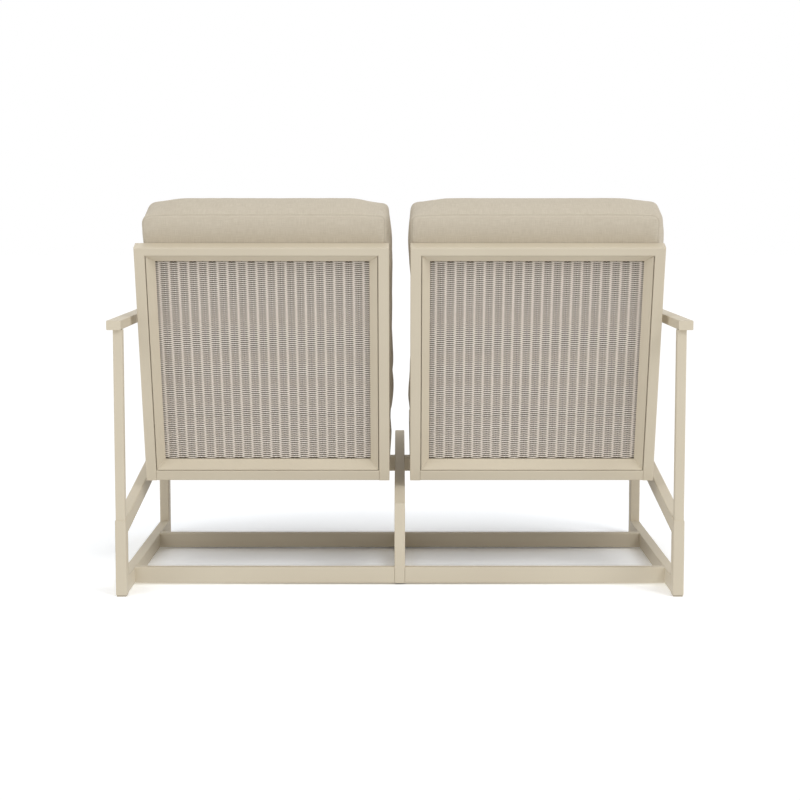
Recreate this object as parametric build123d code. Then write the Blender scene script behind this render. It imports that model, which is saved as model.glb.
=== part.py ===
from build123d import *
import os
from math import copysign, cos, radians, sin, tan

# Two-seat outdoor rocking bench. The welded base stands still. Each seat, with its own back and
# cushions, rocks by itself on two rubber-sprung pivots on a rail between the seat rails.
# X runs across the bench, the front faces -Y and +Z is up. The origin is on the floor under the middle.
# Lengths are millimetres and angles are degrees.

# Overall size
overall_width = 1340.0
overall_depth = 869.0
arm_height = 642.0

# Welded base: tube, stance and slope
tube_width = 25.4
tube_depth = 38.1
tube_wall = 1.8
tube_corner = 2.4
corner_flats = 3
glide_height = 4.0
seat_rail_height = 178.3
seat_slope_angle = 7.35
rear_cross_setback = 142.3
front_cross_setback = 619.0
cross_tube_depth = 25.4
seat_cross_setback = 573.5

# Arms and their posts
arm_width = 33.0
arm_thickness = 22.0
arm_overhang = 11.5
arm_reach = 8.0
arm_cap_thickness = 2.0
post_size = 22.2
post_setback = 1.6

# Glides pressed into the leg ends
glide_inset = 1.4
glide_plug_clearance = 0.3
glide_plug_length = 14.0

# Rocking seat frame
unit_clearance = 12.5
seat_lift = 19.3
seat_front = 868.0
groove_radius = 3.2
groove_drop = 6.6
groove_inset = 5.4
groove_mouth = 2.2
sling_thickness = 1.2
sling_bead_radius = 2.7
sling_end_gap = 9.0

# Back frame, mitred trim and woven panel
back_lean_angle = 17.05
back_foot = 277.8
back_length = 598.3
back_top_height = 20.6
back_bottom_height = 26.0
trim_groove = 2.0
trim_groove_depth = 7.0
trim_setback = 1.0
trim_width = 20.8
trim_recess = 25.0
trim_seat = 27.0
panel_thickness = 2.4
panel_edge_gap = 1.0

# Pivots: pressed brackets, bonded rubber bushes and stops
pivot_height = 28.0
pivot_inset = 70.0
bracket_gap = 50.0
bracket_wall = 5.0
bracket_length = 104.0
bracket_end_height = 8.0
bracket_foot_height = 10.0
bracket_foot_width = 44.0
bracket_lug_height = 34.0
bracket_lug_width = 26.0
bracket_top_height = 41.0
bracket_top_width = 14.0
bush_radius = 15.5
bush_sleeve_radius = 8.0
bush_running_gap = 0.05
bush_press_gap = 0.05
bush_end_gap = 1.0
housing_wall = 2.6
housing_web_bottom = 20.0
housing_web_top = 42.0
housing_end_gap = 2.0
cross_tube_spread = 27.0
seat_cross_size = 25.4
bolt_radius = 5.0
bolt_clearance = 0.25
bolt_head_radius = 9.4
bolt_head_height = 6.4
nut_height = 8.0
bolt_tail = 2.5
buffer_length = 16.0
buffer_width = 30.0
buffer_place = 40.0
buffer_gap = 0.4
rock_back_angle = 9.0
rock_forward_angle = 7.0

# Cushions
cushion_gap = 0.7
cushion_foot_gap = 2.0
cushion_overhang = 2.3
seat_cushion_thickness = 122.0
seat_cushion_crown = 15.0
seat_cushion_bulge = 9.0
back_cushion_thickness = 130.0
back_cushion_crown = 16.0
back_cushion_top = 664.6
back_cushion_top_crown = 14.0
cushion_corner_round = 46.0
cushion_corner_drop = 42.0
cushion_edge_drop = 12.0
cushion_draw_in = 5.0
cushion_station_shares = ((0.0, 1.0), (0.12, 0.68), (0.35, 0.41), (0.7, 0.19), (1.3, 0.05), (2.6, 0.0))

# An overrun that lets every cut pass right through
overrun = 30.0

# Places worked out from the sizes above
rear_y = overall_depth / 2 - arm_reach
front_y = arm_reach - overall_depth / 2
leg_outer = overall_width / 2 - arm_overhang
leg_inner = leg_outer - tube_width
leg_x = leg_outer - tube_width / 2
rail_middle = glide_height + tube_depth / 2
unit_width = leg_inner - tube_width / 2 - 2 * unit_clearance
unit_x = tube_width / 2 + unit_clearance + unit_width / 2
unit_half = unit_width / 2
unit_inner_half = unit_half - tube_width
seat_top = seat_lift + tube_depth
lean_from_seat = back_lean_angle - seat_slope_angle
pivot_place = seat_cross_setback + cross_tube_depth / 2
pivot_x = unit_inner_half - pivot_inset
cushion_base = seat_top + cushion_gap
cushion_width = unit_width + 2 * cushion_overhang
seat_cushion_top = cushion_base + seat_cushion_thickness
groove_level = seat_top - groove_drop

# The seat rails' top plane, and the back frame's rear face, as frames to build in
slope_frame = Pos(0, rear_y, seat_rail_height) * Rot(-seat_slope_angle, 0, 0)
back_frame = slope_frame * Pos(0, -back_foot, seat_lift) * Rot(-lean_from_seat, 0, 0)
slope_plane = Plane(slope_frame)
seat_under_plane = Plane(slope_frame * Pos(0, 0, seat_lift))
sides = (("left", 1), ("right", -1))


def eased_rectangle(width, depth):
    """Rectangle whose corners are rounded in a few flats."""
    points = []
    for quarter in range(4):
        middle = radians(45 + 90 * quarter)
        x = (width / 2 - tube_corner) * copysign(1, cos(middle))
        y = (depth / 2 - tube_corner) * copysign(1, sin(middle))
        for step in range(corner_flats + 1):
            turn = radians(90 * (quarter + step / corner_flats))
            points.append((x + tube_corner * cos(turn), y + tube_corner * sin(turn)))
    return make_face(Polyline(*points, close=True))


def hollow_section(width, depth):
    """Cross-section of a tube with eased outer corners."""
    return eased_rectangle(width, depth) - Rectangle(width - 2 * tube_wall, depth - 2 * tube_wall)


def upright_tube(width, depth, length):
    """Tube that stands on its own origin."""
    return extrude(hollow_section(width, depth), length)


def forward_tube(width, height, length):
    """Tube that runs forward, towards -Y, from its own origin."""
    return Rot(90, 0, 0) * upright_tube(width, height, length)


def cross_tube(height, depth, length):
    """Tube that runs towards +X from its own origin."""
    return Rot(0, 90, 0) * upright_tube(height, depth, length)


def below(shape, plane):
    return split(shape, bisect_by=plane, keep=Keep.BOTTOM)


def above(shape, plane):
    return split(shape, bisect_by=plane, keep=Keep.TOP)


# Base: one closed side loop, made three times
def slope_height(y):
    """Height of the seat rails' top plane."""
    return seat_rail_height + (rear_y - y) * tan(radians(seat_slope_angle))


def loop_mitre(outer_y, inner_y):
    """Mitre between a leg with those two faces and the seat rail, facing the rail."""
    drop = slope_height(outer_y) - slope_height(inner_y) + tube_depth / cos(radians(seat_slope_angle))
    facing = copysign(1, outer_y - inner_y)
    up_from_leg = (0, -facing * drop, facing * (outer_y - inner_y))
    return Plane(origin=(0, outer_y, slope_height(outer_y)), z_dir=up_from_leg)


def mitred_leg(x, outer_y, inner_y):
    """Leg with its foot above the glide and its top mitred to the seat rail."""
    tall = upright_tube(tube_width, tube_depth, arm_height)
    return below(Pos(x, (outer_y + inner_y) / 2, glide_height) * tall, loop_mitre(outer_y, inner_y))


def floor_rail(x, start_y, end_y):
    return Pos(x, start_y, rail_middle) * forward_tube(tube_width, tube_depth, start_y - end_y)


def sloping_rail(x, rear_mitre, front_mitre):
    """Seat rail under the slope plane, both ends mitred to the legs."""
    long = forward_tube(tube_width, tube_depth, overall_depth + 2 * overrun)
    placed = slope_frame * Pos(x, overrun, -tube_depth / 2) * long
    return above(above(placed, rear_mitre), front_mitre)


def loop(prefix, x, loop_rear_y):
    """Rear leg, front leg, floor rail and seat rail of one welded loop."""
    rail_start = loop_rear_y - tube_depth
    rail_end = front_y + tube_depth
    mitres = loop_mitre(loop_rear_y, rail_start), loop_mitre(front_y, rail_end)
    return {
        f"{prefix}_rear_leg": mitred_leg(x, loop_rear_y, rail_start),
        f"{prefix}_front_leg": mitred_leg(x, front_y, rail_end),
        f"{prefix}_floor_rail": floor_rail(x, rail_start, rail_end),
        f"{prefix}_seat_rail": sloping_rail(x, *mitres),
    }


# Arms
def arm_post(x, rear_face_y):
    """Square post from the mitred corner of a loop to the underside of the arm."""
    post = upright_tube(post_size, post_size, arm_height - arm_thickness)
    return above(Pos(x, rear_face_y - post_size / 2, 0) * post, slope_plane)


def arm(x):
    length = overall_depth - 2 * arm_cap_thickness
    start = (x, overall_depth / 2 - arm_cap_thickness, arm_height - arm_thickness / 2)
    return Pos(*start) * forward_tube(arm_width, arm_thickness, length)


def arm_caps():
    """Plates that close both ends of both arms."""
    plate = Rot(90, 0, 0) * extrude(eased_rectangle(arm_width, arm_thickness), arm_cap_thickness)
    arm_x = (overall_width - arm_width) / 2
    rear = overall_depth / 2
    front = arm_cap_thickness - overall_depth / 2
    height = arm_height - arm_thickness / 2
    return [Pos(sign * arm_x, y, height) * plate for _, sign in sides for y in (rear, front)]


# Cross rails
def floor_cross_rail(sign, setback):
    """Rail on the floor level from the middle loop to one side loop."""
    length = leg_inner - tube_width / 2
    start = tube_width / 2 if sign > 0 else -leg_inner
    y = rear_y - setback - cross_tube_depth / 2
    return Pos(start, y, rail_middle) * cross_tube(tube_depth, cross_tube_depth, length)


def bracket_places():
    """X of every pivot, with the sign of the side it belongs to."""
    return [(sign * unit_x + offset, sign) for _, sign in sides for offset in (-pivot_x, pivot_x)]


def seat_cross_rail(sign):
    """Fixed rail flush with the seat rails, which carries the pivots of one seat."""
    length = leg_inner - tube_width / 2
    start = tube_width / 2 if sign > 0 else -leg_inner
    rail = Pos(start, -pivot_place, -tube_depth / 2) * cross_tube(tube_depth, cross_tube_depth, length)
    return slope_frame * rail


def glide():
    """Foot with a plug that is pushed into the open end of a leg."""
    outline = eased_rectangle(tube_width - 2 * glide_inset, tube_depth - 2 * glide_inset)
    foot = extrude(outline, glide_height)
    shrink = 2 * (tube_wall + glide_plug_clearance)
    plug = extrude(Rectangle(tube_width - shrink, tube_depth - shrink), glide_plug_length)
    return foot + Pos(0, 0, glide_height) * plug


def glides():
    middles = (rear_y - tube_depth / 2, front_y + tube_depth / 2)
    return [Pos(sign * leg_x, y, 0) * glide() for _, sign in sides for y in middles]


# Pivots that stay on the base
def side_profile(points):
    """Face in the plane square to X, drawn in forward and upward distances."""
    plane = Plane(origin=(0, 0, 0), x_dir=(0, -1, 0), z_dir=(-1, 0, 0))
    return plane * make_face(Polyline(*points, close=True))


def bracket():
    """Pressed channel, welded to the cross rail: a floor and two walls that rise to the pivot bolt."""
    front_half = [
        (bracket_length / 2, 0), (bracket_length / 2, bracket_end_height),
        (bracket_foot_width / 2, bracket_foot_height), (bracket_lug_width / 2, bracket_lug_height),
        (bracket_top_width / 2, bracket_top_height),
    ]
    profile = side_profile(front_half + [(-place, height) for place, height in reversed(front_half)])
    lug_plane = Plane(origin=(0, 0, pivot_height), x_dir=(0, -1, 0), z_dir=(-1, 0, 0))
    wall = extrude(profile - lug_plane * Circle(bolt_radius + bolt_clearance), bracket_wall)
    near_wall = Pos(-bracket_gap / 2, 0, 0) * wall
    far_wall = Pos(bracket_gap / 2 + bracket_wall, 0, 0) * wall
    floor = Pos(0, 0, bracket_wall / 2) * Box(bracket_gap, bracket_length, bracket_wall)
    return near_wall + far_wall + floor


def brackets():
    return [slope_frame * Pos(x, -pivot_place, 0) * bracket() for x, _ in bracket_places()]


def on_pivot(x, sign=1):
    """Frame on the pivot axis, whose own Z runs along it, outwards when the side's sign is given."""
    return slope_frame * Pos(x, -pivot_place, pivot_height) * Rot(0, sign * 90, 0)


def pivot_bolt(x, sign):
    """Bolt and nut that clamp the sleeve between the lugs."""
    reach = bracket_gap / 2 + bracket_wall
    shank_length = 2 * reach + nut_height + bolt_tail
    head = extrude(RegularPolygon(bolt_head_radius, 6), bolt_head_height)
    shank = Pos(0, 0, -reach) * extrude(Circle(bolt_radius), shank_length)
    bolt = Pos(0, 0, -reach - bolt_head_height) * head + shank
    ring = RegularPolygon(bolt_head_radius, 6) - Circle(bolt_radius + bolt_clearance)
    nut = Pos(0, 0, reach) * extrude(ring, nut_height)
    return [on_pivot(x, sign) * bolt, on_pivot(x, sign) * nut]


def pivot_fasteners():
    """The bolt and nut of each of the four pivots."""
    return [piece for x, sign in bracket_places() for piece in pivot_bolt(x, sign)]


def pivot_sleeves():
    """Steel tubes inside the rubber, clamped to the base by the bolts."""
    ring = Circle(bush_sleeve_radius - bush_running_gap) - Circle(bolt_radius + bolt_clearance)
    sleeve = Pos(0, 0, -bracket_gap / 2) * extrude(ring, bracket_gap)
    return [on_pivot(x) * sleeve for x, _ in bracket_places()]


def buffer_height(angle):
    """Height at which a buffer just meets the cross tube over it when the seat turns by the angle."""
    drop = (pivot_height - seat_lift) / cos(radians(angle))
    sink = (buffer_place + buffer_length / 2) * tan(radians(angle))
    return pivot_height - drop - sink - buffer_gap - bracket_wall


def stop_buffers():
    """Rubber stops on the floor of each bracket, at its rear and its front end."""
    pieces = []
    for x, _ in bracket_places():
        for direction, angle in ((-1, rock_back_angle), (1, rock_forward_angle)):
            height = buffer_height(angle)
            place = Pos(x, -pivot_place - direction * buffer_place, bracket_wall + height / 2)
            pieces.append(slope_frame * place * Box(buffer_width, buffer_length, height))
    return pieces


# Rocking seat frame, built in the slope frame about its own middle
def side_rail_section(inward):
    """Tube section with a round groove and its mouth for the bead of the sling."""
    outer = eased_rectangle(tube_width, tube_depth)
    cavity = Rectangle(tube_width - 2 * tube_wall, tube_depth - 2 * tube_wall)
    centre = Pos(inward * (tube_width / 2 - groove_inset), tube_depth / 2 - groove_drop)
    boss = (centre * Circle(groove_radius + tube_wall)) & outer
    mouth = centre * Pos(inward * groove_inset, 0) * Rectangle(2 * groove_inset, groove_mouth)
    return (outer - cavity) + boss - centre * Circle(groove_radius) - mouth


def seat_side_rail(edge):
    """Side rail from the stile to the mitred front corner; edge is +1 or -1 in the unit."""
    rail = Rot(90, 0, 0) * extrude(side_rail_section(-edge), seat_front - back_foot + overrun)
    rail = Pos(edge * (unit_half - tube_width / 2), overrun - back_foot, seat_lift + tube_depth / 2) * rail
    placed = slope_frame * rail
    stile_front = Plane(back_frame * Pos(0, -tube_depth, 0) * Rot(90, 0, 0))
    corner = slope_frame * front_corner(edge)
    return above(above(placed, stile_front), Plane(corner))


def front_corner(edge):
    """Frame on the mitre of a front corner, its Z towards the side rail."""
    return Pos(edge * unit_half, -seat_front, 0) * Rot(0, 0, 45 if edge < 0 else -45) * Rot(-90, 0, 0)


def seat_front_rail():
    rail = Pos(-unit_half, -seat_front + tube_width / 2, seat_lift + tube_depth / 2)
    rail = slope_frame * rail * cross_tube(tube_depth, tube_width, unit_width)
    for edge in (-1, 1):
        rail = below(rail, Plane(slope_frame * front_corner(edge)))
    return rail


def seat_cross_tubes():
    """Two tubes between the side rails, behind and in front of the pivots."""
    tube = Pos(-unit_inner_half, 0, seat_lift + seat_cross_size / 2)
    tube = tube * cross_tube(seat_cross_size, seat_cross_size, 2 * unit_inner_half)
    spread = cross_tube_spread + seat_cross_size / 2
    return [slope_frame * Pos(0, -pivot_place - offset, 0) * tube for offset in (-spread, spread)]


def pivot_housings():
    """Cast barrels round the rubber, webbed to both cross tubes."""
    length = bracket_gap - 2 * housing_end_gap
    barrel = extrude(Circle(bush_radius + bush_press_gap + housing_wall), length)
    barrel = Rot(0, 90, 0) * Pos(0, 0, -length / 2) * barrel
    web = Box(length, 2 * cross_tube_spread, housing_web_top - housing_web_bottom)
    web = Pos(0, 0, (housing_web_top + housing_web_bottom) / 2 - pivot_height) * web
    bore = Rot(0, 90, 0) * Pos(0, 0, -length) * extrude(Circle(bush_radius + bush_press_gap), 2 * length)
    housing = barrel + web - bore
    return [slope_frame * Pos(x, -pivot_place, pivot_height) * housing for x in (-pivot_x, pivot_x)]


def rubber_bushes():
    length = bracket_gap - 2 * bush_end_gap
    bush = Pos(0, 0, -length / 2) * extrude(Circle(bush_radius) - Circle(bush_sleeve_radius), length)
    return [on_pivot(x) * bush for x in (-pivot_x, pivot_x)]


def seat_sling():
    """Woven sheet with a beaded edge in the groove of each side rail."""
    start = back_foot + tube_depth + sling_end_gap
    length = seat_front - tube_width - sling_end_gap - start
    reach = unit_inner_half + groove_inset
    sheet = Pos(0, -start - length / 2, groove_level) * Box(2 * reach, length, sling_thickness)
    bead = Rot(90, 0, 0) * extrude(Circle(sling_bead_radius), length)
    beads = [Pos(edge * reach, -start, groove_level) * bead for edge in (-1, 1)]
    return slope_frame * (sheet + beads)


# Back frame, built in the back frame's own axes: X across, -Y forward from the rear face, Z up its length
def back_mitre(edge):
    """Mitre between the top rail and a stile, facing the stile."""
    return Plane(origin=(edge * unit_half, 0, back_length), z_dir=(edge * back_top_height, 0, -tube_width))


def back_stile(edge):
    """Upright from the seat's underside, where a plate closes it, to the mitre with the top rail."""
    place = Pos(edge * (unit_half - tube_width / 2), -tube_depth / 2, -overrun)
    tube = place * upright_tube(tube_width, tube_depth, back_length + 2 * overrun)
    foot = back_frame * place * extrude(eased_rectangle(tube_width, tube_depth), 2 * overrun)
    plate = below(above(foot, seat_under_plane), Plane(slope_frame * Pos(0, 0, seat_lift + tube_wall)))
    return above(back_frame * above(tube, back_mitre(edge)), seat_under_plane) + plate


def back_top_rail():
    rail = Pos(-unit_half, -tube_depth / 2, back_length - back_top_height / 2)
    rail = rail * cross_tube(back_top_height, tube_depth, unit_width)
    return back_frame * below(below(rail, back_mitre(1)), back_mitre(-1))


def back_bottom_rail():
    rail = Pos(-unit_inner_half, -tube_depth / 2, back_bottom_height / 2)
    return back_frame * rail * cross_tube(back_bottom_height, tube_depth, 2 * unit_inner_half)


def trim_strip(length, grooved=True):
    """Mitred strip along X that slopes down to the panel from the frame, or from a groove beside it."""
    groove_bottom = trim_setback + trim_groove_depth
    rim = [(groove_bottom, 0), (groove_bottom, trim_groove), (trim_setback, trim_groove)]
    section = side_profile((rim if grooved else [(trim_setback, 0)]) + [
        (trim_recess, trim_width), (trim_seat, trim_width), (trim_seat, 0),
    ])
    bar = Pos(length, 0, 0) * extrude(section, length)
    inner_edge = ((length - trim_width, trim_width), (trim_width, trim_width))
    mitred = make_face(Polyline((0, 0), (length, 0), *inner_edge, close=True))
    return bar & (Plane.XZ * extrude(mitred, trim_seat))


def back_trim():
    """Four strips round the woven panel, tight under the top rail and grooved along the other three."""
    width = 2 * unit_inner_half
    height = back_length - back_top_height - back_bottom_height
    across = trim_strip(width)
    along = trim_strip(height)
    top = back_length - back_top_height
    places = (
        Pos(-unit_inner_half, 0, back_bottom_height) * across,
        Pos(unit_inner_half, 0, top) * Rot(0, 180, 0) * trim_strip(width, grooved=False),
        Pos(-unit_inner_half, 0, top) * Rot(0, 90, 0) * along,
        Pos(unit_inner_half, 0, back_bottom_height) * Rot(0, -90, 0) * along,
    )
    return [back_frame * strip for strip in places]


def back_panel():
    """Sheet of the woven back, held between the trim and the cushion."""
    width = 2 * (unit_inner_half - panel_edge_gap)
    height = back_length - back_top_height - back_bottom_height - 2 * panel_edge_gap
    middle = back_bottom_height + panel_edge_gap + height / 2
    place = Pos(0, -trim_seat - panel_thickness / 2, middle)
    return back_frame * place * Box(width, panel_thickness, height)


# Cushions, lofted across the seat from sections square to X
def on_back(along, out):
    """Forward and upward distance, in the slope frame, of a point of the back frame."""
    lean = radians(lean_from_seat)
    return (
        back_foot - along * sin(lean) + out * cos(lean),
        seat_lift + along * cos(lean) + out * sin(lean),
    )


def along_at(height, out):
    """Distance along the back at which a point that lies out from it has the height."""
    lean = radians(lean_from_seat)
    return (height - seat_lift - out * sin(lean)) / cos(lean)


def cushion_stations():
    """X of each section with its share of the rounding, from one end to the other."""
    edge = cushion_width / 2
    half = [(edge - share * cushion_corner_round, drop) for share, drop in cushion_station_shares]
    return [(-x, drop) for x, drop in half] + [(0, 0)] + [(x, drop) for x, drop in reversed(half)]


def section_plane(x):
    return Plane(origin=(x, 0, 0), x_dir=(0, -1, 0), z_dir=(-1, 0, 0))


def seat_cushion_section(x, drop):
    """Flat underneath, crowned between the back cushion and the front edge, with a rounded front."""
    inset = drop * cushion_edge_drop
    draw = cushion_draw_in * (1 - drop)
    low = cushion_base + inset
    high = seat_cushion_top - inset
    behind = tube_depth + cushion_gap + inset
    ahead = seat_front - inset - draw
    rest = on_back(along_at(seat_cushion_top, behind), behind + back_cushion_thickness)[0]
    rear_low = on_back(along_at(low, behind), behind)
    rear_high = on_back(along_at(high, behind), behind)
    bulge = -seat_cushion_bulge * (1 - drop)
    crown = -seat_cushion_crown * (1 - drop)
    edges = [
        Line(rear_low, (ahead, low)),
        SagittaArc((ahead, low), (ahead, high), bulge) if drop < 1 else Line((ahead, low), (ahead, high)),
        SagittaArc((ahead, high), (rest, high), crown) if drop < 1 else Line((ahead, high), (rest, high)),
        Line((rest, high), rear_high),
        Line(rear_high, rear_low),
    ]
    return section_plane(x) * make_face(edges)


def back_cushion_section(x, drop):
    """Flat against the back frame, crowned in front and on top, its foot cut to the seat cushion."""
    inset = drop * cushion_edge_drop
    behind = tube_depth + cushion_gap + inset
    front = tube_depth + cushion_gap + back_cushion_thickness - inset
    foot = seat_cushion_top + cushion_foot_gap
    top = back_cushion_top - drop * cushion_corner_drop
    rear_low = on_back(along_at(foot, behind), behind)
    front_low = on_back(along_at(foot, front), front)
    front_high = on_back(top, front)
    rear_high = on_back(top, behind)
    crown = back_cushion_crown * (1 - drop)
    edges = [
        Line(rear_low, front_low),
        SagittaArc(front_low, front_high, -crown) if crown > 0 else Line(front_low, front_high),
        SagittaArc(front_high, rear_high, -back_cushion_top_crown * (1 - drop / 2)),
        Line(rear_high, rear_low),
    ]
    return section_plane(x) * make_face(edges)


def cushion(section):
    return slope_frame * loft([section(x, drop) for x, drop in cushion_stations()], ruled=True)


def rocking_unit(prefix, sign):
    """Every piece of one seat, moved to its place beside the middle rail."""
    pieces = {
        "back_outer_stile": back_stile(sign),
        "back_inner_stile": back_stile(-sign),
        "back_top_rail": back_top_rail(),
        "back_bottom_rail": back_bottom_rail(),
        "back_trim": back_trim(),
        "back_panel": back_panel(),
        "seat_outer_rail": seat_side_rail(sign),
        "seat_inner_rail": seat_side_rail(-sign),
        "seat_front_rail": seat_front_rail(),
        "seat_cross_tubes": seat_cross_tubes(),
        "seat_sling": seat_sling(),
        "pivot_housings": pivot_housings(),
        "rubber_bushes": rubber_bushes(),
        "seat_cushion": cushion(seat_cushion_section),
        "back_cushion": cushion(back_cushion_section),
    }
    place = Pos(sign * unit_x, 0, 0)
    moved = {}
    for name, piece in pieces.items():
        group = piece if isinstance(piece, list) else [piece]
        moved[f"{prefix}_{name}"] = [place * solid for solid in group]
    return moved


def base():
    """Every piece that stays still."""
    pieces = {}
    pieces.update(loop("centre", 0, rear_y - rear_cross_setback))
    arm_x = (overall_width - arm_width) / 2
    for prefix, sign in sides:
        pieces.update(loop(prefix, sign * leg_x, rear_y))
        pieces[f"{prefix}_rear_arm_post"] = arm_post(sign * leg_x, rear_y - post_setback)
        pieces[f"{prefix}_front_arm_post"] = arm_post(sign * leg_x, front_y + post_setback + post_size)
        pieces[f"{prefix}_arm"] = arm(sign * arm_x)
        pieces[f"{prefix}_rear_cross_rail"] = floor_cross_rail(sign, rear_cross_setback)
        pieces[f"{prefix}_front_cross_rail"] = floor_cross_rail(sign, front_cross_setback)
        pieces[f"{prefix}_seat_cross_rail"] = seat_cross_rail(sign)
    pieces["arm_end_caps"] = arm_caps()
    pieces["foot_glides"] = glides()
    pieces["pivot_brackets"] = brackets()
    pieces["pivot_fasteners"] = pivot_fasteners()
    pieces["pivot_sleeves"] = pivot_sleeves()
    pieces["stop_buffers"] = stop_buffers()
    return pieces


def solids_of(piece):
    """All the solids of a piece, whether it is one shape or a group."""
    group = piece if isinstance(piece, list) else [piece]
    return [solid for shape in group for solid in shape.solids()]


nodes = base()
for prefix, sign in sides:
    nodes.update(rocking_unit(prefix, sign))

os.makedirs("parts", exist_ok=True)
for node, piece in nodes.items():
    export_step(Compound(children=solids_of(piece)), f"parts/{node}.step")

pivot = slope_frame * Pos(unit_x, -pivot_place, pivot_height)
print("nodes", len(nodes))
print("left pivot", [round(value, 4) for value in pivot.position])
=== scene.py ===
from math import cos, pi, radians, sin

import bpy
import numpy as np
from mathutils import Matrix


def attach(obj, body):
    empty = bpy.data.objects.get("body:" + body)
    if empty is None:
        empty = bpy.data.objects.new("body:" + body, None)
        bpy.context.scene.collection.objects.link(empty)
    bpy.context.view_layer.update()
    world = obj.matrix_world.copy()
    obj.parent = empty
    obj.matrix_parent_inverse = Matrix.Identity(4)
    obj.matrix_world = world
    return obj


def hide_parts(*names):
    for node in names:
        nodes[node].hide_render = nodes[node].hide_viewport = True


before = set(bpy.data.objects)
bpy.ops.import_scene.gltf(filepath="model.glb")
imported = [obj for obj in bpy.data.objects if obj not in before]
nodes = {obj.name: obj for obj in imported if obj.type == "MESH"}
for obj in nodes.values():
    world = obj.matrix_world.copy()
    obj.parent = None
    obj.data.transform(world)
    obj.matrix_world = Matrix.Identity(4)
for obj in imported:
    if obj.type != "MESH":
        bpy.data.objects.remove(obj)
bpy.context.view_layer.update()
collection = bpy.context.scene.collection


# Welded frame
# Square-cornered tubes of thin extruded metal, mitred or butted, welded and ground flush,
# then powder coated in one warm sand colour with a fine satin texture.
class Value:
    """A socket that takes part in sums; each sum adds its Math node."""

    def __init__(self, maker, socket):
        self.maker, self.socket = maker, socket

    def math(self, operation, *others):
        inputs = dict(enumerate((self,) + others))
        return self.maker.node("ShaderNodeMath", inputs, operation=operation)

    def __add__(self, other):
        return self.math("ADD", other)

    def __sub__(self, other):
        return self.math("SUBTRACT", other)

    def __mul__(self, other):
        return self.math("MULTIPLY", other)

    def __truediv__(self, other):
        return self.math("DIVIDE", other)

    def __rsub__(self, other):
        return self * -1 + other

    __radd__, __rmul__ = __add__, __mul__


class Maker:
    """Makes the nodes of one tree."""

    def __init__(self, tree):
        self.tree = tree

    def node(self, kind, inputs=None, output=0, **settings):
        made = self.tree.nodes.new(kind)
        for name, value in settings.items():
            setattr(made, name, value)
        for name, value in (inputs or {}).items():
            if isinstance(value, Value):
                self.tree.links.new(value.socket, made.inputs[name])
            elif value is not None:
                made.inputs[name].default_value = value
        return Value(self, made.outputs[output])


def tint(red, green, blue):
    """Linear colour of a colour seen on a screen as red, green and blue out of 255."""
    seen = np.array((red, green, blue)) / 255
    linear = np.where(seen < 0.04045, seen / 12.92, ((seen + 0.055) / 1.055) ** 2.4)
    return (*(float(part) for part in linear), 1.0)


class Finish(Maker):
    """A material; its name is also the finish's name."""

    def __init__(self, name, **fixed):
        self.material = bpy.data.materials.new(name)
        self.material.use_nodes = True
        super().__init__(self.material.node_tree)
        self.shader = self.tree.nodes["Principled BSDF"]
        for socket, value in fixed.items():
            self.shader.inputs[socket.replace("_", " ")].default_value = value

    def place(self):
        return self.node("ShaderNodeTexCoord", output="Object")

    def noise(self, place, scale, detail=2.0):
        inputs = {"Vector": place, "Scale": scale, "Detail": detail}
        return self.node("ShaderNodeTexNoise", inputs)

    def blend(self, amount, first, second):
        inputs = {0: amount, 6: first, 7: second}
        return self.node("ShaderNodeMix", inputs, output=2, data_type="RGBA")

    def between(self, value, low, high, least=0.0, most=1.0):
        """The value's run from low to high as a run from least to most."""
        inputs = {"Value": value, 1: low, 2: high, 3: least, 4: most}
        return self.node("ShaderNodeMapRange", inputs)

    def give(self, **sockets):
        for name, value in sockets.items():
            self.tree.links.new(value.socket, self.shader.inputs[name.replace("_", " ")])

    def bump(self, height, distance, strength=1.0):
        inputs = {"Height": height, "Distance": distance, "Strength": strength}
        self.give(Normal=self.node("ShaderNodeBump", inputs))

    def cover(self, *names):
        """Dresses CAD nodes in this finish."""
        for name in names:
            for slot in nodes[name].material_slots:
                slot.material = self.material


def powder_coat(name, pale, deep, roughness):
    """Sprayed and baked powder: a fine orange peel with a faint cloudiness."""
    coat = Finish(name, Specular_IOR_Level=0.4)
    place = coat.place()
    cloud = coat.between(coat.noise(place, 5.0, 3.0), 0.3, 0.7)
    speck = coat.between(coat.noise(place, 900.0, 1.0), 0.35, 0.65)
    colour = coat.blend(cloud * 0.6 + speck * 0.4, deep, pale)
    coat.give(Base_Color=colour, Roughness=coat.between(speck, 0.0, 1.0, roughness, roughness + 0.08))
    coat.bump(coat.noise(place, 650.0, 2.0), 0.00012, 0.35)
    return coat


frame_coat = powder_coat("sand_powder_coat", tint(210, 200, 179), tint(204, 193, 172), 0.5)
sides = ("left", "right")
frame_nodes = [name for name in nodes if name.startswith("centre_")] + ["arm_end_caps"]
for side in sides:
    frame_nodes += [f"{side}_{part}" for part in (
        "rear_leg", "front_leg", "floor_rail", "seat_rail", "rear_arm_post", "front_arm_post", "arm",
        "rear_cross_rail", "front_cross_rail", "seat_cross_rail", "seat_outer_rail", "seat_inner_rail",
        "seat_front_rail", "seat_cross_tubes", "back_outer_stile", "back_inner_stile", "back_top_rail",
        "back_bottom_rail", "back_trim",
    )]
frame_coat.cover(*frame_nodes)

# Foot glides
# Moulded plastic feet pushed into the open ends of the corner legs, a little smaller than
# the tube, so that a thin shadow line parts the leg from the floor.
glide = Finish("glide_plastic", Roughness=0.55)
glide_grain = glide.between(glide.noise(glide.place(), 1800.0, 1.0), 0.3, 0.7)
glide.give(Base_Color=glide.blend(glide_grain, tint(176, 165, 146), tint(186, 176, 157)))
glide.bump(glide_grain, 0.00005, 0.3)
glide.cover("foot_glides")

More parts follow.
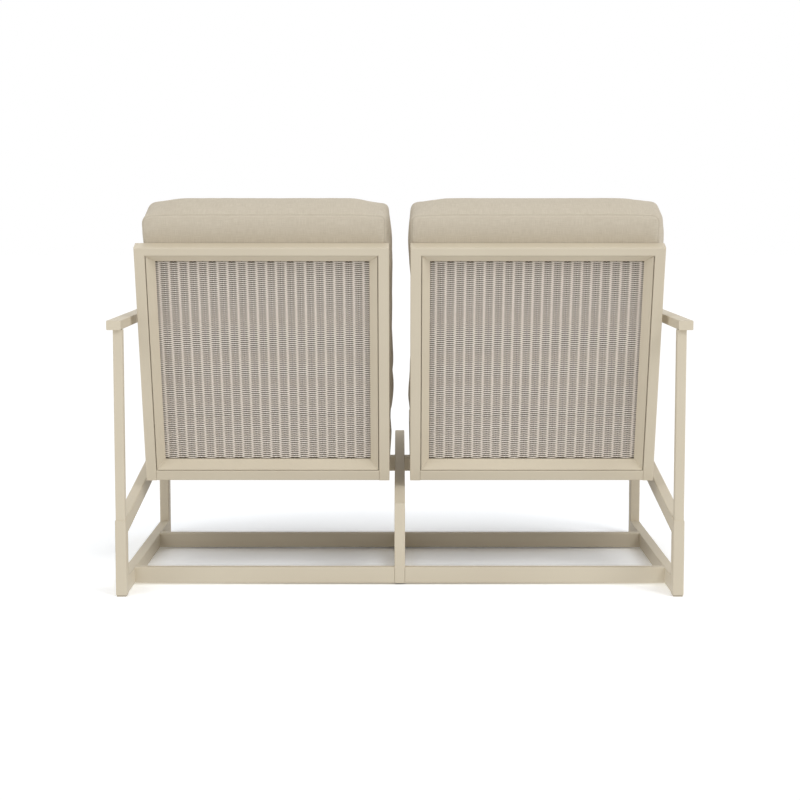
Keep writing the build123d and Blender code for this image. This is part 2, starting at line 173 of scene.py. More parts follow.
# Pivots
# Pressed steel brackets and cast housings in a darker coat, with stainless bolts and sleeves
# and black rubber bushes and stops. They hide under the seats.
powder_coat("pivot_coat", tint(150, 140, 122), tint(138, 129, 112), 0.42).cover(
    "pivot_brackets", "left_pivot_housings", "right_pivot_housings")
steel = Finish("stainless_steel", Metallic=1.0)
turned = steel.between(steel.noise(steel.place(), 1200.0, 2.0), 0.3, 0.7)
steel.give(Base_Color=steel.blend(turned, tint(196, 196, 194), tint(214, 214, 212)),
           Roughness=steel.between(turned, 0.0, 1.0, 0.28, 0.4))
steel.cover("pivot_fasteners", "pivot_sleeves")
rubber = Finish("black_rubber", Roughness=0.72)
bloom = rubber.between(rubber.noise(rubber.place(), 120.0, 3.0), 0.3, 0.7)
rubber.give(Base_Color=rubber.blend(bloom, tint(34, 33, 32), tint(52, 50, 48)))
rubber.bump(rubber.noise(rubber.place(), 1500.0, 1.0), 0.00006, 0.4)
rubber.cover("stop_buffers", "left_rubber_bushes", "right_rubber_bushes")

# Woven backs
# Thin strands of warm grey resin wicker, woven in front of and behind upright stakes, so that the
# strands cross in pale bands between the stakes and leave pairs of dark dashes beside them. The dashes
# are partly real shade in the recesses and partly painted shade: strands are painted dark brown where
# they lie back, and the stakes are painted a set shade.
slope_turn, lean_turn = radians(7.35), radians(17.05)
back_ahead, back_up = 0.2778, 0.0193
seat_axes = Matrix.Translation((0, 0.4265, 0.1783)) @ Matrix.Rotation(-slope_turn, 4, "X")
back_axes = (seat_axes @ Matrix.Translation((0, -back_ahead, back_up))
             @ Matrix.Rotation(slope_turn - lean_turn, 4, "X"))
unit_x = {"left": 0.3229, "right": -0.3229}


def strand_finish():
    resin = Finish("wicker_resin", Specular_IOR_Level=0.15)
    place = resin.place()
    along = resin.node("ShaderNodeMapping", {"Vector": place, "Scale": (0.12, 1.0, 1.0)})
    strand = resin.between(resin.noise(along, 420.0, 2.0), 0.3, 0.7)
    grain = resin.between(resin.noise(along, 2600.0, 1.0), 0.3, 0.7)
    forward = resin.node("ShaderNodeAttribute", attribute_name="forward", output="Fac")
    warm = resin.blend(strand, tint(238, 228, 216), tint(250, 241, 230))
    warm = resin.blend(grain * 0.25, warm, tint(253, 247, 240))
    # Painted shade: strands that lie back, and the stakes, are blended towards dark brown in place of the
    # shade in the weave's recesses.
    painted_shade_fade = resin.between(forward, -0.62, -0.18)
    resin.give(Base_Color=resin.blend(painted_shade_fade, tint(60, 36, 10), warm),
               Roughness=resin.between(grain, 0.0, 1.0, 0.5, 0.62))
    resin.bump(grain, 0.00006, 0.4)
    return resin.material


def weave_tree():
    """Rows of strands that wave past the stakes, alternate rows in front and behind."""
    tree = bpy.data.node_groups.new("wicker", "GeometryNodeTree")
    tree.interface.new_socket("Geometry", in_out="OUTPUT", socket_type="NodeSocketGeometry")
    sizes = ("Width", "Height", "Stake pitch", "Stake shift", "Row pitch", "Wave", "Tuck", "Tuck start",
             "Strand height", "Strand depth", "Stake width", "Stake depth", "Stake painted shade")
    for size in sizes:
        tree.interface.new_socket(size, in_out="INPUT", socket_type="NodeSocketFloat")
    for count in ("Rows", "Points", "Stakes"):
        tree.interface.new_socket(count, in_out="INPUT", socket_type="NodeSocketInt")
    tree.interface.new_socket("Material", in_out="INPUT", socket_type="NodeSocketMaterial")
    maker = Maker(tree)
    entry = tree.nodes.new("NodeGroupInput")
    given = {socket.name: Value(maker, socket) for socket in entry.outputs if socket.name}

    def vector(x=0.0, y=0.0, z=0.0):
        return maker.node("ShaderNodeCombineXYZ", {"X": x, "Y": y, "Z": z})

    def section(width, height, resolution):
        """Profile of a strand or a stake."""
        circle = maker.node("GeometryNodeCurvePrimitiveCircle", {"Resolution": resolution, "Radius": 0.5})
        inputs = {"Geometry": circle, "Scale": vector(width, height, 1.0)}
        return maker.node("GeometryNodeTransform", inputs)

    def repeat(count, start, offset, start_of_one, end_of_one, points):
        """Copies of one straight line, each with its points."""
        inputs = {"Count": count, "Start Location": start, "Offset": offset}
        line = maker.node("GeometryNodeMeshLine", inputs, mode="OFFSET")
        one = maker.node("GeometryNodeCurvePrimitiveLine", {"Start": start_of_one, "End": end_of_one})
        one = maker.node("GeometryNodeResampleCurve", {"Curve": one, "Count": points})
        spread = maker.node("GeometryNodeInstanceOnPoints", {"Points": line, "Instance": one})
        return maker.node("GeometryNodeRealizeInstances", {"Geometry": spread})

    def upright(curve):
        return maker.node("GeometryNodeSetCurveNormal", {"Curve": curve}, mode="Z_UP")

    def marked(curve, forward):
        """Notes how far forward each point is, from -1 to 1, which the finish turns into painted shade where
        the strands lie back; the stakes are given a set value for their painted shade.
        """
        inputs = {"Geometry": curve, "Name": "forward", "Value": forward}
        return maker.node("GeometryNodeStoreNamedAttribute", inputs, data_type="FLOAT")

    half = given["Width"] * 0.5
    rows = repeat(given["Rows"], vector(z=given["Row pitch"] * 0.5), vector(z=given["Row pitch"]),
                  vector(x=half * -1), vector(x=half), given["Points"])
    position = maker.node("GeometryNodeInputPosition")
    split = maker.node("ShaderNodeSeparateXYZ", {"Vector": position})
    across = Value(maker, split.socket.node.outputs["X"])
    up = Value(maker, split.socket.node.outputs["Z"])
    swing = ((across - given["Stake shift"]) / given["Stake pitch"] * pi).math("COSINE")
    side_of_row = ((up / given["Row pitch"] - 0.5) * pi).math("COSINE")
    beyond = (across.math("ABSOLUTE") - given["Tuck start"]).math("MAXIMUM", 0.0)
    tucked = (beyond * 1000.0).math("MINIMUM", 1.0) * given["Tuck"]
    wave = swing * side_of_row * given["Wave"] - tucked
    wander = maker.node("ShaderNodeTexNoise", {"Vector": position, "Scale": 16.0, "Detail": 1.0})
    rows = marked(rows, swing * side_of_row)
    rows = maker.node("GeometryNodeSetPosition",
                      {"Geometry": rows, "Offset": vector(y=wave, z=(wander - 0.5) * 0.0004)})
    strands = maker.node("GeometryNodeCurveToMesh", {
        "Curve": upright(rows), "Fill Caps": True,
        "Profile Curve": section(given["Strand depth"], given["Strand height"], 5)})
    stake_span = given["Stake pitch"] * (given["Stakes"] - 1) * 0.5
    overlap = (given["Height"] - given["Row pitch"] * given["Rows"]) * 0.5
    first = given["Stake shift"] - stake_span
    stakes = repeat(given["Stakes"], vector(x=first), vector(x=given["Stake pitch"]),
                    vector(z=overlap * -1), vector(z=given["Height"] - overlap), 2)
    stakes = maker.node("GeometryNodeCurveToMesh", {
        # The stakes carry a set value in place of a depth, so the finish paints them darker, as shade
        # between the front and back strands.
        "Curve": marked(stakes, given["Stake painted shade"]), "Fill Caps": True,
        "Profile Curve": section(given["Stake width"], given["Stake depth"], 8)})
    both = maker.node("GeometryNodeJoinGeometry")
    for part in (strands, stakes):
        tree.links.new(part.socket, both.socket.node.inputs[0])
    whole = maker.node("GeometryNodeRealizeInstances", {"Geometry": both})
    whole = maker.node("GeometryNodeSetShadeSmooth", {"Geometry": whole})
    whole = maker.node("GeometryNodeSetMaterial", {"Geometry": whole, "Material": given["Material"]})
    tree.links.new(whole.socket, tree.nodes.new("NodeGroupOutput").inputs[0])
    return tree


def grown(name, tree, values):
    """Plain mesh object that a tree of geometry nodes makes from its named sizes."""
    seed = bpy.data.objects.new(name + "_seed", bpy.data.meshes.new(name + "_seed"))
    collection.objects.link(seed)
    modifier = seed.modifiers.new("grow", "NODES")
    modifier.node_group = tree
    for item in tree.interface.items_tree:
        if item.in_out == "INPUT" and item.name in values:
            modifier[item.identifier] = values[item.name]
    depsgraph = bpy.context.evaluated_depsgraph_get()
    mesh = bpy.data.meshes.new_from_object(seed.evaluated_get(depsgraph), depsgraph=depsgraph)
    seed.modifiers.remove(modifier)
    bpy.data.objects.remove(seed)
    made = bpy.data.objects.new(name, mesh)
    collection.objects.link(made)
    return made


# The stakes' value sets how dark they are painted, as painted shade between the strands in front and behind.
weave_sizes = {
    "Width": 0.510, "Height": 0.512, "Stake pitch": 0.0229, "Row pitch": 0.002494, "Wave": 0.0027,
    "Tuck": 0.0022, "Tuck start": 0.2495, "Strand height": 0.0022, "Strand depth": 0.0018,
    "Stake width": 0.0028, "Stake depth": 0.0018, "Stake painted shade": -0.52, "Rows": 203, "Points": 92,
    "Stakes": 23, "Material": strand_finish(),
}
weave_depth, weave_foot, stake_shift = 0.0291, 0.04857, 0.00325
wicker = weave_tree()
for side, outward in (("left", 1), ("right", -1)):
    weave = grown(f"{side}_back_weave", wicker, {**weave_sizes, "Stake shift": stake_shift * outward})
    weave.data.transform(back_axes @ Matrix.Translation((unit_x[side], -weave_depth, weave_foot)))
    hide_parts(f"{side}_back_panel")
    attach(weave, f"{side}_seat")

# Seat slings
# A coated mesh cloth under each seat cushion, hemmed in front and behind. Its sides are welded
# round cords that slide into grooves of the seat rails, and it dips a little under the cushion.
mesh_pitch = 0.0021
sling_cloth = Finish("sling_mesh", Roughness=0.6)
place = sling_cloth.place()
turned_place = sling_cloth.node("ShaderNodeMapping", {"Vector": place, "Rotation": (slope_turn, 0, 0)})
parts = sling_cloth.node("ShaderNodeSeparateXYZ", {"Vector": turned_place}).socket.node.outputs
warp = (Value(sling_cloth, parts["X"]) * (2 * pi / mesh_pitch)).math("SINE")
weft = (Value(sling_cloth, parts["Y"]) * (2 * pi / mesh_pitch)).math("SINE")
checks = sling_cloth.between(warp * weft, -1.0, 1.0)
sling_cloth.give(Base_Color=sling_cloth.blend(checks, tint(122, 113, 100), tint(158, 148, 133)))
sling_cloth.bump(checks, 0.0003, 0.6)


def plain_object(name, points, faces, smooth=True):
    mesh = bpy.data.meshes.new(name)
    mesh.from_pydata([tuple(point) for point in points], [], faces)
    mesh.shade_smooth() if smooth else mesh.shade_flat()
    made = bpy.data.objects.new(name, mesh)
    collection.objects.link(made)
    return made


def flattened(thing):
    """Replaces a thing's mesh by what its modifiers make of it."""
    depsgraph = bpy.context.evaluated_depsgraph_get()
    mesh = bpy.data.meshes.new_from_object(thing.evaluated_get(depsgraph), depsgraph=depsgraph)
    thing.modifiers.clear()
    thing.data = mesh
    return thing


sling_width, sling_start, sling_length, sling_level, sling_dip = 0.5594, 0.3259, 0.5047, 0.0508, 0.004
sling_steps = (28, 26)
sheet_thickness, hem_depth, hem_drop, cord_radius, cord_reach = 0.0012, 0.022, 0.0013, 0.0024, 0.2777


def sling_points(level, count_x, count_y, start, length, dip):
    for row in range(count_y + 1):
        for column in range(count_x + 1):
            u, v = column / count_x, row / count_y
            sag = dip * sin(pi * u) * sin(pi * v) ** 0.7
            yield (u - 0.5) * sling_width, -(start + v * length), level - sag


def sling_faces(count_x, count_y):
    wide = count_x + 1
    return [(row * wide + column, (row + 1) * wide + column, (row + 1) * wide + column + 1,
             row * wide + column + 1) for row in range(count_y) for column in range(count_x)]


for side in sides:
    shift = seat_axes @ Matrix.Translation((unit_x[side], 0, 0))
    sheet = plain_object(f"{side}_sling_cloth",
                         sling_points(sling_level, *sling_steps, sling_start, sling_length, sling_dip),
                         sling_faces(*sling_steps))
    thick = sheet.modifiers.new("thickness", "SOLIDIFY")
    thick.thickness, thick.offset = sheet_thickness, 0.0
    flattened(sheet)
    cords = []
    for edge, end in ((1, "left"), (-1, "right")):
        curve = bpy.data.curves.new(f"{side}_{end}_cord_path", "CURVE")
        curve.dimensions, curve.bevel_depth, curve.bevel_resolution = "3D", cord_radius, 3
        curve.use_fill_caps = True
        spline = curve.splines.new("POLY")
        spline.points.add(7)
        for index, point in enumerate(spline.points):
            way = sling_start + sling_length * index / 7
            point.co = (edge * cord_reach, -way, sling_level, 1)
        path = bpy.data.objects.new(curve.name, curve)
        collection.objects.link(path)
        depsgraph = bpy.context.evaluated_depsgraph_get()
        mesh = bpy.data.meshes.new_from_object(path.evaluated_get(depsgraph), depsgraph=depsgraph)
        bpy.data.objects.remove(path)
        cord = bpy.data.objects.new(f"{side}_sling_cord_{end}", mesh)
        collection.objects.link(cord)
        cords.append(cord)
    hems = []
    for where, start in (("rear", sling_start), ("front", sling_start + sling_length - hem_depth)):
        hem = plain_object(f"{side}_sling_hem_{where}",
                           sling_points(sling_level - hem_drop, sling_steps[0], 2, start, hem_depth, 0.0),
                           sling_faces(sling_steps[0], 2))
        thick = hem.modifiers.new("thickness", "SOLIDIFY")
        thick.thickness, thick.offset = sheet_thickness, 0.0
        hems.append(flattened(hem))
    for piece in (sheet, *cords, *hems):
        piece.data.transform(shift)
        piece.data.materials.clear()
        piece.data.materials.append(sling_cloth.material)
        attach(piece, f"{side}_seat")
    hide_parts(f"{side}_seat_sling")

# Back cushions
# Foam slabs wrapped in fibre, in boxed covers of a heathered sand cloth: two panels and a boxing
# strip joined by plain seams. They stand on the seat cushions and lean on the back frames.


def cloth_finish():
    """Plain-woven outdoor cloth whose threads follow the cover's own map, painted darker along the seams as
    shade in their crease.
    """
    cloth = Finish("sand_cloth", Roughness=0.86, Sheen_Weight=0.03, Sheen_Roughness=0.5,
                   Specular_IOR_Level=0.2)
    lay = cloth.node("ShaderNodeUVMap", uv_map="cover")
    outputs = cloth.node("ShaderNodeSeparateXYZ", {"Vector": lay}).socket.node.outputs
    across, along = Value(cloth, outputs["X"]), Value(cloth, outputs["Y"])
    thread = 0.00115
    warp = (across * (2 * pi / thread)).math("SINE")
    weft = (along * (2 * pi / thread)).math("SINE")
    relief = cloth.between(warp * weft, -1.0, 1.0)
    streak_across = cloth.node("ShaderNodeMapping", {"Vector": lay, "Scale": (1.0, 0.06, 1.0)})
    streak_along = cloth.node("ShaderNodeMapping", {"Vector": lay, "Scale": (0.06, 1.0, 1.0)})
    slub = (cloth.noise(streak_across, 700.0, 2.0) + cloth.noise(streak_along, 700.0, 2.0)) * 0.5
    heather = cloth.between(slub, 0.38, 0.62)
    cloud = cloth.between(cloth.noise(cloth.place(), 9.0, 3.0), 0.3, 0.7)
    yarn = cloth.blend(heather, tint(196, 186, 168), tint(208, 199, 182))
    yarn = cloth.blend(relief * 0.2, yarn, tint(168, 157, 138))
    yarn = cloth.blend(cloud * 0.08, yarn, tint(184, 173, 154))
    # Painted shade: the seams are pulled in as a real crease, and their colour is darkened towards a deep
    # sand as the shade in that crease.
    seam = cloth.node("ShaderNodeAttribute", attribute_name="seam", output="Fac")
    colour = cloth.blend(seam * 0.25, yarn, tint(132, 122, 104))
    cloth.give(Base_Color=colour)
    cloth.bump(relief + slub * 0.5, 0.00025, 0.5)
    return cloth.material


def marks(length, step, fine):
    """Places of the grid lines along one side, closer beside its two seams."""
    inner = [fine * share for share in (1.0, 2.4, 4.4)]
    count = max(2, round((length - 2 * inner[-1]) / step))
    middle = list(np.linspace(inner[-1], length - inner[-1], count + 1))
    return np.array([0.0, *inner[:-1], *middle, *(length - mark for mark in reversed(inner[:-1])), length])


def boxed_cover(width, length, thickness, corners, edge, step=0.0068, fine=0.0024):
    """Closed grid of a boxed cover, centred across, from 0 along and from 0 through.
    corners gives the plan radius at (low x, low y), (high x, low y), (low x, high y) and (high x, high y).
    It returns the points, the faces, the faces' maps and the seams' share of each point."""
    grid = [marks(side_length, step, fine) for side_length in (width, length, thickness)]
    count = [len(line) - 1 for line in grid]
    index, keys = {}, []

    def corner_of(i, j, k):
        if (i, j, k) not in index:
            index[(i, j, k)] = len(keys)
            keys.append((i, j, k))
        return index[(i, j, k)]

    faces, flats = [], []
    for axis in range(3):
        one, two = [other for other in range(3) if other != axis]
        for end in (0, count[axis]):
            for a in range(count[one]):
                for b in range(count[two]):
                    loop = []
                    for step_a, step_b in ((0, 0), (1, 0), (1, 1), (0, 1)):
                        key = [0, 0, 0]
                        key[axis], key[one], key[two] = end, a + step_a, b + step_b
                        loop.append(key)
                    forwards = (end > 0) == (axis != 1)
                    loop = loop if forwards else loop[::-1]
                    faces.append([corner_of(*key) for key in loop])
                    flats.append([(grid[one][key[one]], grid[two][key[two]]) for key in loop])
    keys = np.array(keys)
    points = np.stack([grid[axis][keys[:, axis]] for axis in range(3)], axis=1)
    points[:, 0] -= width / 2
    on_edge = (np.isin(keys[:, 0], (0, count[0])) | np.isin(keys[:, 1], (0, count[1])))
    seams = on_edge & np.isin(keys[:, 2], (0, count[2]))
    plan = points[:, :2] - (0, length / 2)
    half = np.array((width / 2, length / 2))
    radius = np.array(corners)[(plan[:, 0] > 0) + 2 * (plan[:, 1] > 0)]
    middle = np.clip(plan, -(half - radius[:, None]), half - radius[:, None])
    arm = plan - middle
    reach, far = np.hypot(*arm.T), np.abs(arm).max(axis=1)
    plan = middle + arm * np.where(reach > 0, far / np.maximum(reach, 1e-9), 1)[:, None]
    inside = radius - far
    direction = arm / np.maximum(reach, 1e-9)[:, None]
    depth = np.minimum(points[:, 2], thickness - points[:, 2])
    out, over = np.maximum(edge - inside, 0), np.maximum(edge - depth, 0)
    size = np.maximum(np.hypot(out, over), 1e-9)
    share = np.where((out > 0) & (over > 0), edge / size, 1)
    plan += direction * (out * (share - 1))[:, None]
    lift = over * (1 - share)
    points[:, 2] += np.where(points[:, 2] < thickness / 2, lift, -lift)
    points[:, 0], points[:, 1] = plan[:, 0], plan[:, 1] + length / 2
    return points, faces, flats, seams.astype(float)


def puffed(name, points, faces, seams, most, pressure=4.0, frames=20):
    """The points after the cover has been blown up like a cushion, none moved by more than most."""
    shell = plain_object(name + "_shell", points, faces)
    tight = shell.vertex_groups.new(name="tight")
    for number in np.nonzero(seams)[0]:
        tight.add([int(number)], 1.0, "REPLACE")
    cloth = shell.modifiers.new("cloth", "CLOTH")
    settings = cloth.settings
    settings.quality = 6
    settings.mass = 0.25
    settings.tension_stiffness = settings.compression_stiffness = 22
    settings.shear_stiffness = 9
    settings.bending_stiffness = 1.2
    settings.use_pressure = True
    settings.uniform_pressure_force = pressure
    settings.effector_weights.gravity = 0
    settings.vertex_group_shrink = "tight"
    settings.shrink_min, settings.shrink_max = 0.0, 0.02
    cloth.point_cache.frame_start, cloth.point_cache.frame_end = 1, frames
    scene = bpy.context.scene
    for number in range(1, frames + 1):
        scene.frame_set(number)
    depsgraph = bpy.context.evaluated_depsgraph_get()
    result = shell.evaluated_get(depsgraph).to_mesh()
    moved = np.zeros(len(points) * 3)
    result.vertices.foreach_get("co", moved)
    shell.evaluated_get(depsgraph).to_mesh_clear()
    bpy.data.objects.remove(shell)
    scene.frame_set(1)
    step = moved.reshape(-1, 3) - points
    size = np.maximum(np.linalg.norm(step, axis=1), 1e-9)
    return points + step * (most * np.tanh(size / most) / size)[:, None]


def sewn(name, points, faces, flats, seams, axes, material):
    """The finished cover: its map, its seams pulled in, one subdivision and its cloth."""
    cover = plain_object(name, points, faces)
    mesh = cover.data
    layer = mesh.uv_layers.new(name="cover")
    layer.data.foreach_set("uv", np.array(flats, float).reshape(-1))
    # The seams' share also drives the cloth's painted shade along the seams.
    mark = mesh.attributes.new("seam", "FLOAT", "POINT")
    mark.data.foreach_set("value", seams)
    normals = np.zeros(len(points) * 3)
    mesh.vertex_normals.foreach_get("vector", normals)
    depth = 0.0016 * seams
    pulled = points - normals.reshape(-1, 3) * depth[:, None]
    mesh.vertices.foreach_set("co", pulled.reshape(-1))
    smooth = cover.modifiers.new("rounding", "SUBSURF")
    smooth.levels = smooth.render_levels = 1
    flattened(cover)
    cover.data.transform(axes)
    cover.data.materials.clear()
    cover.data.materials.append(material)
    cover.data.shade_smooth()
    return cover


def refitted(points, before, seams, axis, span):
    """The places along one axis, scaled so that the seams at its ends run straight along the span's ends."""
    other, size = 1 - axis, np.ptp(before, axis=0)
    middle = before[:, other].min() + size[other] / 2
    central = (np.abs(before[:, other] - middle) < 0.44 * size[other]) & (seams > 0)
    ends = []
    for place in (before[:, axis].min(), before[:, axis].max()):
        row = central & (np.abs(before[:, axis] - place) < 0.02 * size[axis])
        along, which = np.unique(before[row, other].round(5), return_inverse=True)
        seam = np.bincount(which, points[row, axis]) / np.bincount(which)
        ends.append(np.interp(before[:, other], along, seam))
    low, high = ends
    return span[0] + (points[:, axis] - low) * (span[1] - span[0]) / (high - low)


def ramp(value, low, high):
    """Smooth run from 0 at low to 1 at high."""
    share = np.clip((value - low) / (high - low), 0, 1)
    return share * share * (3 - 2 * share)


cover_cloth = cloth_finish()
seat_tilt = lean_turn - slope_turn
contact_level = 0.1803
back_covers = {
    "left": {"middle": -0.0074, "width": 0.5710, "corners": (0.014, 0.014, 0.014, 0.022),
             "drops": (0.010, 0.007), "roll": 0.007, "lean": 0.0055, "swell": 0.0035},
    "right": {"middle": 0.0000, "width": 0.5882, "corners": (0.014, 0.014, 0.020, 0.018),
              "drops": (0.006, 0.007), "roll": 0.012, "lean": 0.0035, "swell": 0.0},
}
back_rear, back_thickness, back_top = 0.0389, 0.128, 0.6640
back_bulge, back_belly, top_crown, cover_edge = 0.011, 0.010, 0.0148, 0.008
foot_gap, rail_clear, rail_top = 0.0014, 0.002, (0.600, 0.630)


def foot_limit(through):
    """How far along the back the seat cushion's top is, at a place through the back cushion."""
    return (contact_level + foot_gap - back_up - (through + back_rear) * sin(seat_tilt)) / cos(seat_tilt)


foot_along = float(foot_limit(0.0))
for side in sides:
    form = back_covers[side]
    length, half = back_top - foot_along, form["width"] / 2
    points, faces, flats, seams = boxed_cover(form["width"], length, back_thickness, form["corners"],
                                              cover_edge)
    before = points.copy()
    points = puffed(f"{side}_back_cushion", points, faces, seams, back_bulge)
    points[:, 1:] = (points[:, 1:] + before[:, 1:]) / 2
    points[:, 0] = refitted(points, before, seams, 0, (-half, half))
    points[:, 1] = refitted(points, before, seams, 1, (0.0, length))
    across, up = points[:, 0] / half, points[:, 1] / length
    through = before[:, 2] / back_thickness
    belly = np.clip(1 - across ** 4, 0, 1) * np.clip(1 - (2 * up - 1) ** 4, 0, 1)
    points[:, 2] += belly * back_belly * through
    crown = (1 - (2 * through - 1) ** 2) * ramp(up, 0.8, 1.0) * np.clip(1 - across ** 6, 0, 1)
    points[:, 1] += top_crown * crown
    low, high = form["drops"]
    fall = ramp(-across, 0.7, 1.0) * low + ramp(across, 0.7, 1.0) * high
    points[:, 1] -= fall * ramp(up, 0.6, 1.0) * (0.3 + 0.7 * ramp(through, 0.0, 0.4))
    low_side = ramp(-across, 0.7, 1.0)
    points[:, 0] += form["roll"] * low_side * np.clip(1 - 2.5 * through, 0, 1) ** 2
    points[:, 0] -= form["lean"] * ramp(1 - up, 0.05, 0.45)
    points[:, 0] -= form["swell"] * low_side * np.clip(1 - ((up - 0.6) / 0.4) ** 2, 0, 1)
    points[:, 1] -= (1 - np.clip(up, 0, 1)) * points[:, 2] * np.tan(seat_tilt)
    points[:, 1] = np.maximum(points[:, 1], foot_limit(points[:, 2]) - foot_along)
    free = ramp(points[:, 1] + foot_along, *rail_top)
    points[:, 2] = np.maximum(points[:, 2], -rail_clear * free)
    local = np.stack([points[:, 0] + form["middle"] + unit_x[side], -(points[:, 2] + back_rear),
                      points[:, 1] + foot_along], axis=1)
    cushion = sewn(f"{side}_back_cushion_cover", local, faces, flats, seams, back_axes, cover_cloth)
    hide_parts(f"{side}_back_cushion")
    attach(cushion, f"{side}_seat")

# Seat cushions
# The same boxed covers over thicker foam. They lie on the seat frames against the foot of the
# back frames, crowned where the sitter sits and flat where the back cushions stand on them.
seat_covers = {"left": {"middle": -0.0095, "width": 0.572}, "right": {"middle": 0.0012, "width": 0.583}}
seat_base, seat_thickness, seat_front, seat_bulge, seat_crown = 0.0583, 0.1210, 0.866, 0.010, 0.009
seat_corners, leaning_end = (0.014, 0.014, 0.024, 0.024), (0.430, 0.480)


def rear_limit(height):
    """How far forward the back frame's front is, at a height over the seat cushion's base."""
    along = (height + seat_base - back_up - back_rear * sin(seat_tilt)) / cos(seat_tilt)
    return back_ahead - along * sin(seat_tilt) + back_rear * cos(seat_tilt)


seat_rear = float(rear_limit(0.0))
for side in sides:
    form = seat_covers[side]
    length, half = seat_front - seat_rear, form["width"] / 2
    points, faces, flats, seams = boxed_cover(form["width"], length, seat_thickness, seat_corners,
                                              cover_edge)
    before = points.copy()
    points = puffed(f"{side}_seat_cushion", points, faces, seams, seat_bulge)
    points[:, 0] = refitted(points, before, seams, 0, (-half, half))
    points[:, 1] = refitted(points, before, seams, 1, (0.0, length))
    across, ahead = points[:, 0] / half, points[:, 1] / length
    through = before[:, 2] / seat_thickness
    crown = np.clip(1 - across ** 4, 0, 1) * ramp(ahead, 0.2, 0.5) * np.clip(1 - (2 * ahead - 1) ** 4, 0, 1)
    points[:, 2] += crown * seat_crown * through
    points[:, 1] -= (1 - np.clip(ahead, 0, 1)) * points[:, 2] * np.tan(seat_tilt)
    points[:, 2] = np.maximum(points[:, 2], 0)
    points[:, 1] = np.maximum(points[:, 1], rear_limit(points[:, 2]) - seat_rear)
    free = ramp(points[:, 1] + seat_rear, *leaning_end)
    top = contact_level - seat_base
    points[:, 2] = np.where(points[:, 2] > top, top + (points[:, 2] - top) * free, points[:, 2])
    local = np.stack([points[:, 0] + form["middle"] + unit_x[side], -(points[:, 1] + seat_rear),
                      points[:, 2] + seat_base], axis=1)
    cushion = sewn(f"{side}_seat_cushion_cover", local, [face[::-1] for face in faces],
                   [flat[::-1] for flat in flats], seams, seat_axes, cover_cloth)
    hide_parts(f"{side}_seat_cushion")
    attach(cushion, f"{side}_seat")

# Studio
# A white floor that keeps the bench's soft shadow and turns into plain white away from it, an even
# white surround and wide soft lamps, with the camera behind the bench at the height of its top.
floor_corners = [(-30, -30, 0), (30, -30, 0), (30, 30, 0), (-30, 30, 0)]
floor = plain_object("studio_floor", floor_corners, [(0, 1, 2, 3)], smooth=False)
floor_paint = bpy.data.materials.new("floor_paint")
floor_paint.use_nodes = True
floor_paint.node_tree.nodes.clear()
studio = Maker(floor_paint.node_tree)
seen = studio.node("ShaderNodeLightPath", output="Is Camera Ray")
ground = studio.node("ShaderNodeTexCoord", output="Object")


def floor_shader(albedo, strength, painted_shade_fade, far, forward=0.0):
    """Diffuse paint near the bench that turns into an even glow from near to far of a middle point."""
    inputs = {"Vector": ground, "Scale": (0.67, 1.0, 1.0), "Location": (0, forward, 0)}
    spot = studio.node("ShaderNodeMapping", inputs)
    away = studio.node("ShaderNodeVectorMath", {0: spot}, output="Value", operation="LENGTH")
    share = studio.node("ShaderNodeMapRange", {"Value": away, 1: painted_shade_fade, 2: far, 3: 0.0, 4: 1.0},
                        interpolation_type="SMOOTHSTEP")
    paint = studio.node("ShaderNodeBsdfDiffuse", {"Color": (*albedo, 1)})
    glow = studio.node("ShaderNodeEmission", {"Color": (1, 1, 1, 1), "Strength": strength})
    return studio.node("ShaderNodeMixShader", {0: share, 1: paint, 2: glow})


shown = floor_shader((1.32, 1.35, 1.39), 1.05, 0.6, 1.2, forward=0.1)
felt = floor_shader((0.60, 0.57, 0.53), 0.88, 0.32, 0.66, forward=0.2)
both = studio.node("ShaderNodeMixShader", {0: seen, 1: felt, 2: shown})
floor_end = studio.tree.nodes.new("ShaderNodeOutputMaterial")
studio.tree.links.new(both.socket, floor_end.inputs["Surface"])
floor.data.materials.append(floor_paint)

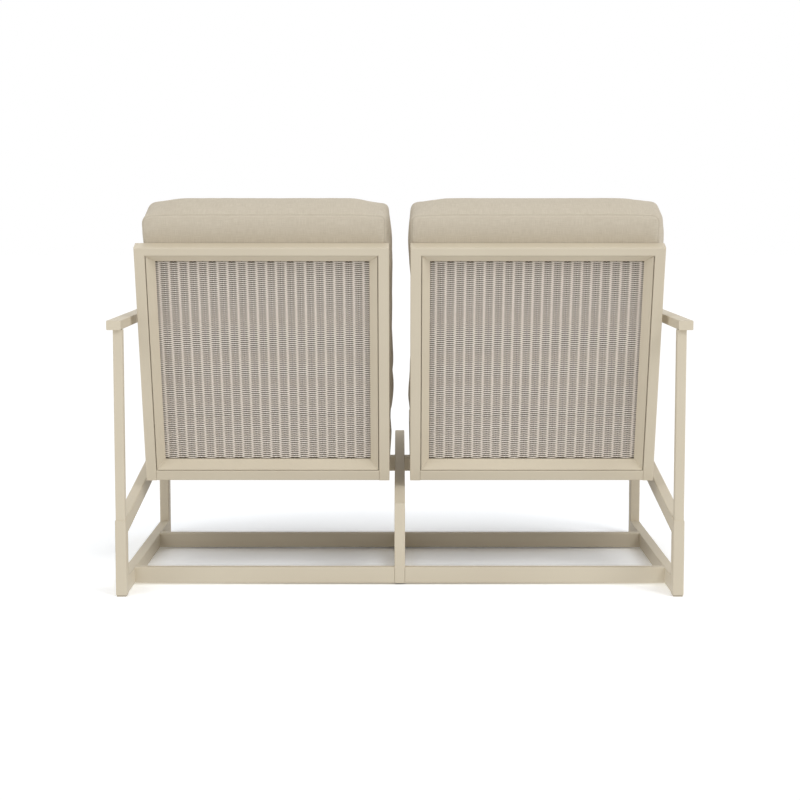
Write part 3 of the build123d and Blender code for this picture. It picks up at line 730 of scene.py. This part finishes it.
world = bpy.data.worlds.new("surround")
bpy.context.scene.world = world
world.use_nodes = True
world.node_tree.nodes.clear()
sky = Maker(world.node_tree)
paths = sky.node("ShaderNodeLightPath").socket.node.outputs
direct = Value(sky, paths["Is Camera Ray"]).math("MAXIMUM", Value(sky, paths["Is Transmission Ray"]))
heading = sky.node("ShaderNodeSeparateXYZ", {"Vector": sky.node("ShaderNodeTexCoord")})
height = Value(sky, heading.socket.node.outputs["Z"])
level = (1 - height.math("ABSOLUTE")).math("POWER", 2.0)
ambient = (level * 0.42 + 0.40).math("MAXIMUM", Value(sky, paths["Is Glossy Ray"]) * 0.85)
strength = direct.math("MAXIMUM", ambient)
backdrop = sky.node("ShaderNodeBackground", {"Color": (1, 1, 1, 1), "Strength": strength})
world_end = sky.tree.nodes.new("ShaderNodeOutputWorld")
sky.tree.links.new(backdrop.socket, world_end.inputs["Surface"])


def soft_lamp(name, place, aim, width, height, power):
    lamp = bpy.data.lights.new(name, "AREA")
    lamp.shape, lamp.size, lamp.size_y, lamp.energy = "RECTANGLE", width, height, power
    holder = bpy.data.objects.new(name, lamp)
    collection.objects.link(holder)
    toward = Matrix.Translation(place).to_translation() - Matrix.Translation(aim).to_translation()
    holder.matrix_world = Matrix.Translation(place) @ toward.to_track_quat("Z", "Y").to_matrix().to_4x4()


soft_lamp("overhead_lamp", (0, 1.2, 7.0), (0, 0.2, 0), 6.0, 4.5, 75)
soft_lamp("front_fill_lamp", (0, -4.2, 4.6), (0, 0, 0.4), 4.5, 2.5, 55)
soft_lamp("right_key_lamp", (-4.2, 5.2, 5.6), (0, 0.2, 0.3), 3.4, 3.0, 178)
soft_lamp("left_fill_lamp", (4.6, 5.4, 5.6), (0, 0.2, 0.3), 4.5, 4.0, 120)
soft_lamp("low_right_lamp", (-6.4, 1.6, 1.3), (0, 0, 0.3), 2.4, 1.8, 50)
soft_lamp("low_left_lamp", (5.2, 3.0, 1.2), (0, -0.2, 0.2), 2.4, 1.8, 26)

camera = bpy.data.cameras.new("camera")
camera.sensor_width, camera.lens = 36.0, 84.79
camera.shift_x = 0.0003
camera.clip_start, camera.clip_end = 0.1, 60
camera_pitch = 5.848
viewer = bpy.data.objects.new("camera", camera)
collection.objects.link(viewer)
viewer.location = (0.0, 4.7278, 0.8996)
viewer.rotation_euler = (radians(90 - camera_pitch), 0, pi)
bpy.context.scene.camera = viewer
bpy.context.scene.view_settings.view_transform = "Standard"
